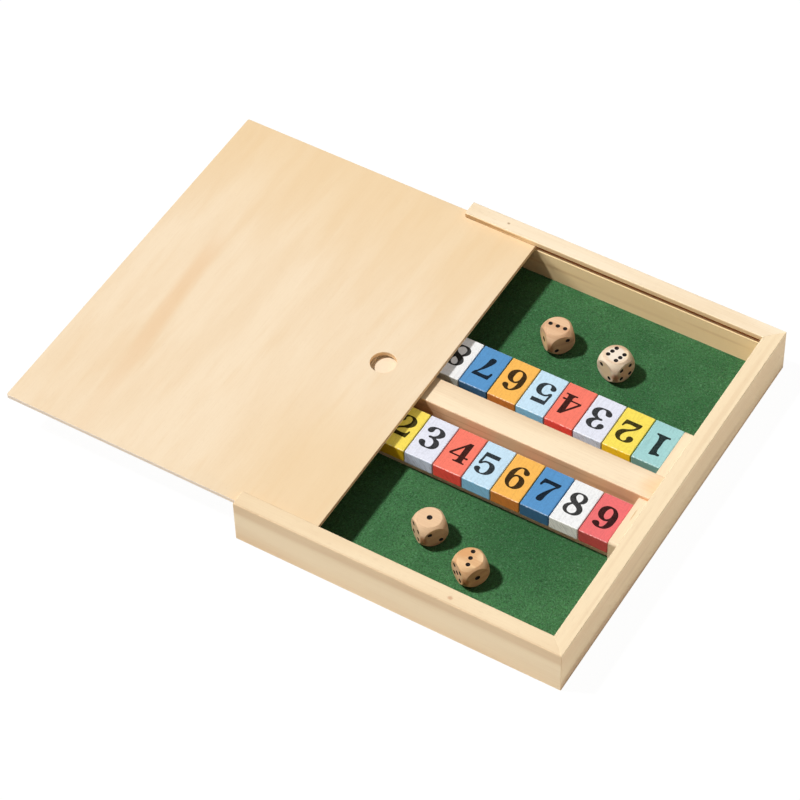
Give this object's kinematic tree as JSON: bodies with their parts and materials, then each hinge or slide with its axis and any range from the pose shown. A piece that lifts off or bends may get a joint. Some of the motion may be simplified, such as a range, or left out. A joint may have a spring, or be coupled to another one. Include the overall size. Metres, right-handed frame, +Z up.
{
  "type": "shut the box game",
  "caption": "Shut the box game: facing rows of numbered tiles that flip up on rods, felt dice trays, loose dice and a thin lid that slides in grooves of a shallow wooden tray",
  "frame": {"origin": "the middle of the underside of the wooden tray, without the lid", "axes": "+Z is up, +X runs along the lid's travel towards the end rail that the lid closes into, +Y runs from the front row's player to the back row's player"},
  "size_m": [0.351, 0.255, 0.03],
  "materials": {
    "rail_wood": "sanded pale pine, unvarnished",
    "plywood": "sanded thin birch plywood",
    "bed_wood": "sanded pale wood",
    "green_felt": "matt green felt",
    "rod_steel": "drawn wire",
    "dice_wood": "lightly waxed wood with black pips",
    "tile_paint_1": "satin mint paint on wood",
    "tile_paint_2": "satin yellow paint on wood",
    "tile_paint_3": "satin lavender white paint on wood",
    "tile_paint_4": "satin coral red paint on wood",
    "tile_paint_5": "satin light blue paint on wood",
    "tile_paint_6": "satin orange paint on wood",
    "tile_paint_7": "satin mid blue paint on wood",
    "tile_paint_8": "satin white paint on wood",
    "tile_paint_9": "satin pink red paint on wood"
  },
  "bodies": {
    "box": {"front_rail": "rail_wood", "back_rail": "rail_wood", "right_end_rail": "rail_wood", "left_end_rail": "rail_wood", "bottom_panel": "plywood", "front_felt": "green_felt", "back_felt": "green_felt", "centre_bar": "bed_wood", "front_tile_rest": "bed_wood", "back_tile_rest": "bed_wood", "front_left_block": "bed_wood", "front_right_block": "bed_wood", "back_left_block": "bed_wood", "back_right_block": "bed_wood", "front_rod": "rod_steel", "back_rod": "rod_steel"},
    "lid": {"lid": "plywood"},
    "front_tile_1": {"front_tile_1": "tile_paint_1"},
    "front_tile_2": {"front_tile_2": "tile_paint_2"},
    "front_tile_3": {"front_tile_3": "tile_paint_3"},
    "front_tile_4": {"front_tile_4": "tile_paint_4"},
    "front_tile_5": {"front_tile_5": "tile_paint_5"},
    "front_tile_6": {"front_tile_6": "tile_paint_6"},
    "front_tile_7": {"front_tile_7": "tile_paint_7"},
    "front_tile_8": {"front_tile_8": "tile_paint_8"},
    "front_tile_9": {"front_tile_9": "tile_paint_9"},
    "back_tile_1": {"back_tile_1": "tile_paint_1"},
    "back_tile_2": {"back_tile_2": "tile_paint_2"},
    "back_tile_3": {"back_tile_3": "tile_paint_3"},
    "back_tile_4": {"back_tile_4": "tile_paint_4"},
    "back_tile_5": {"back_tile_5": "tile_paint_5"},
    "back_tile_6": {"back_tile_6": "tile_paint_6"},
    "back_tile_7": {"back_tile_7": "tile_paint_7"},
    "back_tile_8": {"back_tile_8": "tile_paint_8"},
    "back_tile_9": {"back_tile_9": "tile_paint_9"},
    "die_1": {"die_1": "dice_wood"},
    "die_2": {"die_2": "dice_wood"},
    "die_3": {"die_3": "dice_wood"},
    "die_4": {"die_4": "dice_wood"}
  },
  "joints": [
    {"name": "lid_slide", "type": "slide", "parent": "box", "child": "lid", "axis": [-1, 0, 0], "range_m": [-0.1497, 0.045]},
    {"name": "front_tile_1_hinge", "type": "hinge", "parent": "box", "child": "front_tile_1", "pos_m": [-0.07112, -0.0189, 0.015], "axis": [-1, 0, 0], "range_deg": [0, 9]},
    {"name": "front_tile_2_hinge", "type": "hinge", "parent": "box", "child": "front_tile_2", "pos_m": [-0.05318, -0.0189, 0.015], "axis": [-1, 0, 0], "range_deg": [0, 9]},
    {"name": "front_tile_3_hinge", "type": "hinge", "parent": "box", "child": "front_tile_3", "pos_m": [-0.03522, -0.0189, 0.015], "axis": [-1, 0, 0], "range_deg": [0, 123]},
    {"name": "front_tile_4_hinge", "type": "hinge", "parent": "box", "child": "front_tile_4", "pos_m": [-0.01727, -0.0189, 0.015], "axis": [-1, 0, 0], "range_deg": [0, 123]},
    {"name": "front_tile_5_hinge", "type": "hinge", "parent": "box", "child": "front_tile_5", "pos_m": [0.00068, -0.0189, 0.015], "axis": [-1, 0, 0], "range_deg": [0, 123]},
    {"name": "front_tile_6_hinge", "type": "hinge", "parent": "box", "child": "front_tile_6", "pos_m": [0.01862, -0.0189, 0.015], "axis": [-1, 0, 0], "range_deg": [0, 123]},
    {"name": "front_tile_7_hinge", "type": "hinge", "parent": "box", "child": "front_tile_7", "pos_m": [0.03658, -0.0189, 0.015], "axis": [-1, 0, 0], "range_deg": [0, 123]},
    {"name": "front_tile_8_hinge", "type": "hinge", "parent": "box", "child": "front_tile_8", "pos_m": [0.05452, -0.0189, 0.015], "axis": [-1, 0, 0], "range_deg": [0, 123]},
    {"name": "front_tile_9_hinge", "type": "hinge", "parent": "box", "child": "front_tile_9", "pos_m": [0.07247, -0.0189, 0.015], "axis": [-1, 0, 0], "range_deg": [0, 123]},
    {"name": "back_tile_1_hinge", "type": "hinge", "parent": "box", "child": "back_tile_1", "pos_m": [0.07247, 0.0189, 0.015], "axis": [1, 0, 0], "range_deg": [0, 123]},
    {"name": "back_tile_2_hinge", "type": "hinge", "parent": "box", "child": "back_tile_2", "pos_m": [0.05452, 0.0189, 0.015], "axis": [1, 0, 0], "range_deg": [0, 123]},
    {"name": "back_tile_3_hinge", "type": "hinge", "parent": "box", "child": "back_tile_3", "pos_m": [0.03658, 0.0189, 0.015], "axis": [1, 0, 0], "range_deg": [0, 123]},
    {"name": "back_tile_4_hinge", "type": "hinge", "parent": "box", "child": "back_tile_4", "pos_m": [0.01862, 0.0189, 0.015], "axis": [1, 0, 0], "range_deg": [0, 123]},
    {"name": "back_tile_5_hinge", "type": "hinge", "parent": "box", "child": "back_tile_5", "pos_m": [0.00068, 0.0189, 0.015], "axis": [1, 0, 0], "range_deg": [0, 123]},
    {"name": "back_tile_6_hinge", "type": "hinge", "parent": "box", "child": "back_tile_6", "pos_m": [-0.01727, 0.0189, 0.015], "axis": [1, 0, 0], "range_deg": [0, 123]},
    {"name": "back_tile_7_hinge", "type": "hinge", "parent": "box", "child": "back_tile_7", "pos_m": [-0.03522, 0.0189, 0.015], "axis": [1, 0, 0], "range_deg": [0, 123]},
    {"name": "back_tile_8_hinge", "type": "hinge", "parent": "box", "child": "back_tile_8", "pos_m": [-0.05318, 0.0189, 0.015], "axis": [1, 0, 0], "range_deg": [0, 9]},
    {"name": "back_tile_9_hinge", "type": "hinge", "parent": "box", "child": "back_tile_9", "pos_m": [-0.07112, 0.0189, 0.015], "axis": [1, 0, 0], "range_deg": [0, 9]},
    {"name": "die_1_lift", "type": "slide", "parent": "box", "child": "die_1", "axis": [0, 0, 1], "range_m": [0, 0.04]},
    {"name": "die_2_lift", "type": "slide", "parent": "box", "child": "die_2", "axis": [0, 0, 1], "range_m": [0, 0.04]},
    {"name": "die_3_lift", "type": "slide", "parent": "box", "child": "die_3", "axis": [0, 0, 1], "range_m": [0, 0.04]},
    {"name": "die_4_lift", "type": "slide", "parent": "box", "child": "die_4", "axis": [0, 0, 1], "range_m": [0, 0.04]}
  ]
}
